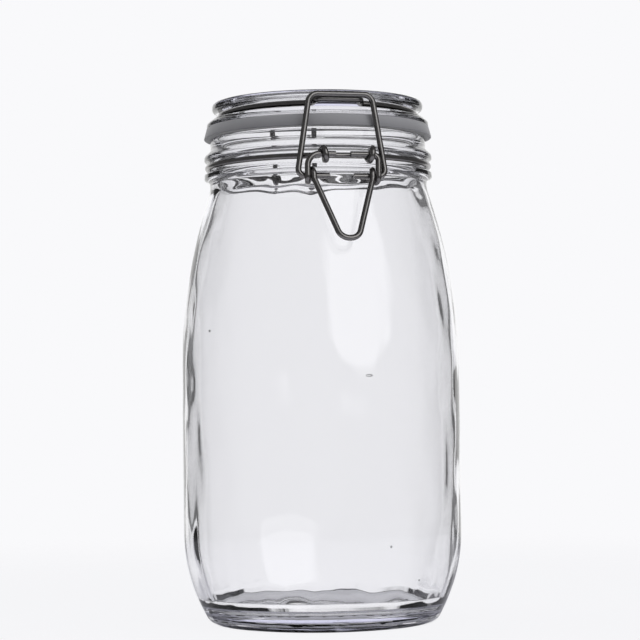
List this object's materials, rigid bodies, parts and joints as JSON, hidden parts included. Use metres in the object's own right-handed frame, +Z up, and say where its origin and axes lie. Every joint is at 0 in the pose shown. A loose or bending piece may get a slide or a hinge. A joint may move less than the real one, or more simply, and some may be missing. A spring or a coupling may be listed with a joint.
{
  "type": "clip-top glass jar",
  "caption": "Clear glass storage jar with a hinged glass lid, a ring gasket and a bent-wire clip that pulls the lid shut.",
  "frame": {"origin": "on the jar's axis, in the plane that the jar stands on", "axes": "+Z up along the jar's axis, -Y towards the clip, +Y towards the hinge, +X to the right seen from the clip's side"},
  "size_m": [0.116, 0.1197, 0.2169],
  "materials": {
    "jar_glass": "clear, smooth",
    "lid_glass": "clear, smooth",
    "gasket_rubber": "matte grey",
    "neck_wire_steel": "drawn wire",
    "lid_wire_steel": "drawn wire",
    "lever_steel": "drawn wire",
    "bail_steel": "drawn wire"
  },
  "bodies": {
    "jar": {"glass_jar": "jar_glass", "neck_wire": "neck_wire_steel"},
    "lid": {"glass_lid": "lid_glass", "gasket": "gasket_rubber", "lid_wire": "lid_wire_steel"},
    "lever": {"lever": "lever_steel"},
    "bail": {"bail": "bail_steel"}
  },
  "joints": [
    {"name": "lever_swing", "type": "hinge", "parent": "jar", "child": "lever", "pos_m": [0, -0.0509, 0.1898], "axis": [-1, 0, 0], "range_deg": [0, 150]},
    {"name": "bail_swing", "type": "hinge", "parent": "lever", "child": "bail", "pos_m": [0, -0.0484, 0.1813], "axis": [1, 0, 0], "range_deg": [0, 315]},
    {"name": "lid_hinge", "type": "hinge", "parent": "jar", "child": "lid", "pos_m": [0, 0.0514, 0.1898], "axis": [-1, 0, 0], "range_deg": [0, 105]}
  ],
  "couplings": [
    {"joint": "bail_swing", "follows": "lever_swing", "ratio": 2.1},
    {"joint": "lid_hinge", "follows": "lever_swing", "ratio": 0.7}
  ]
}
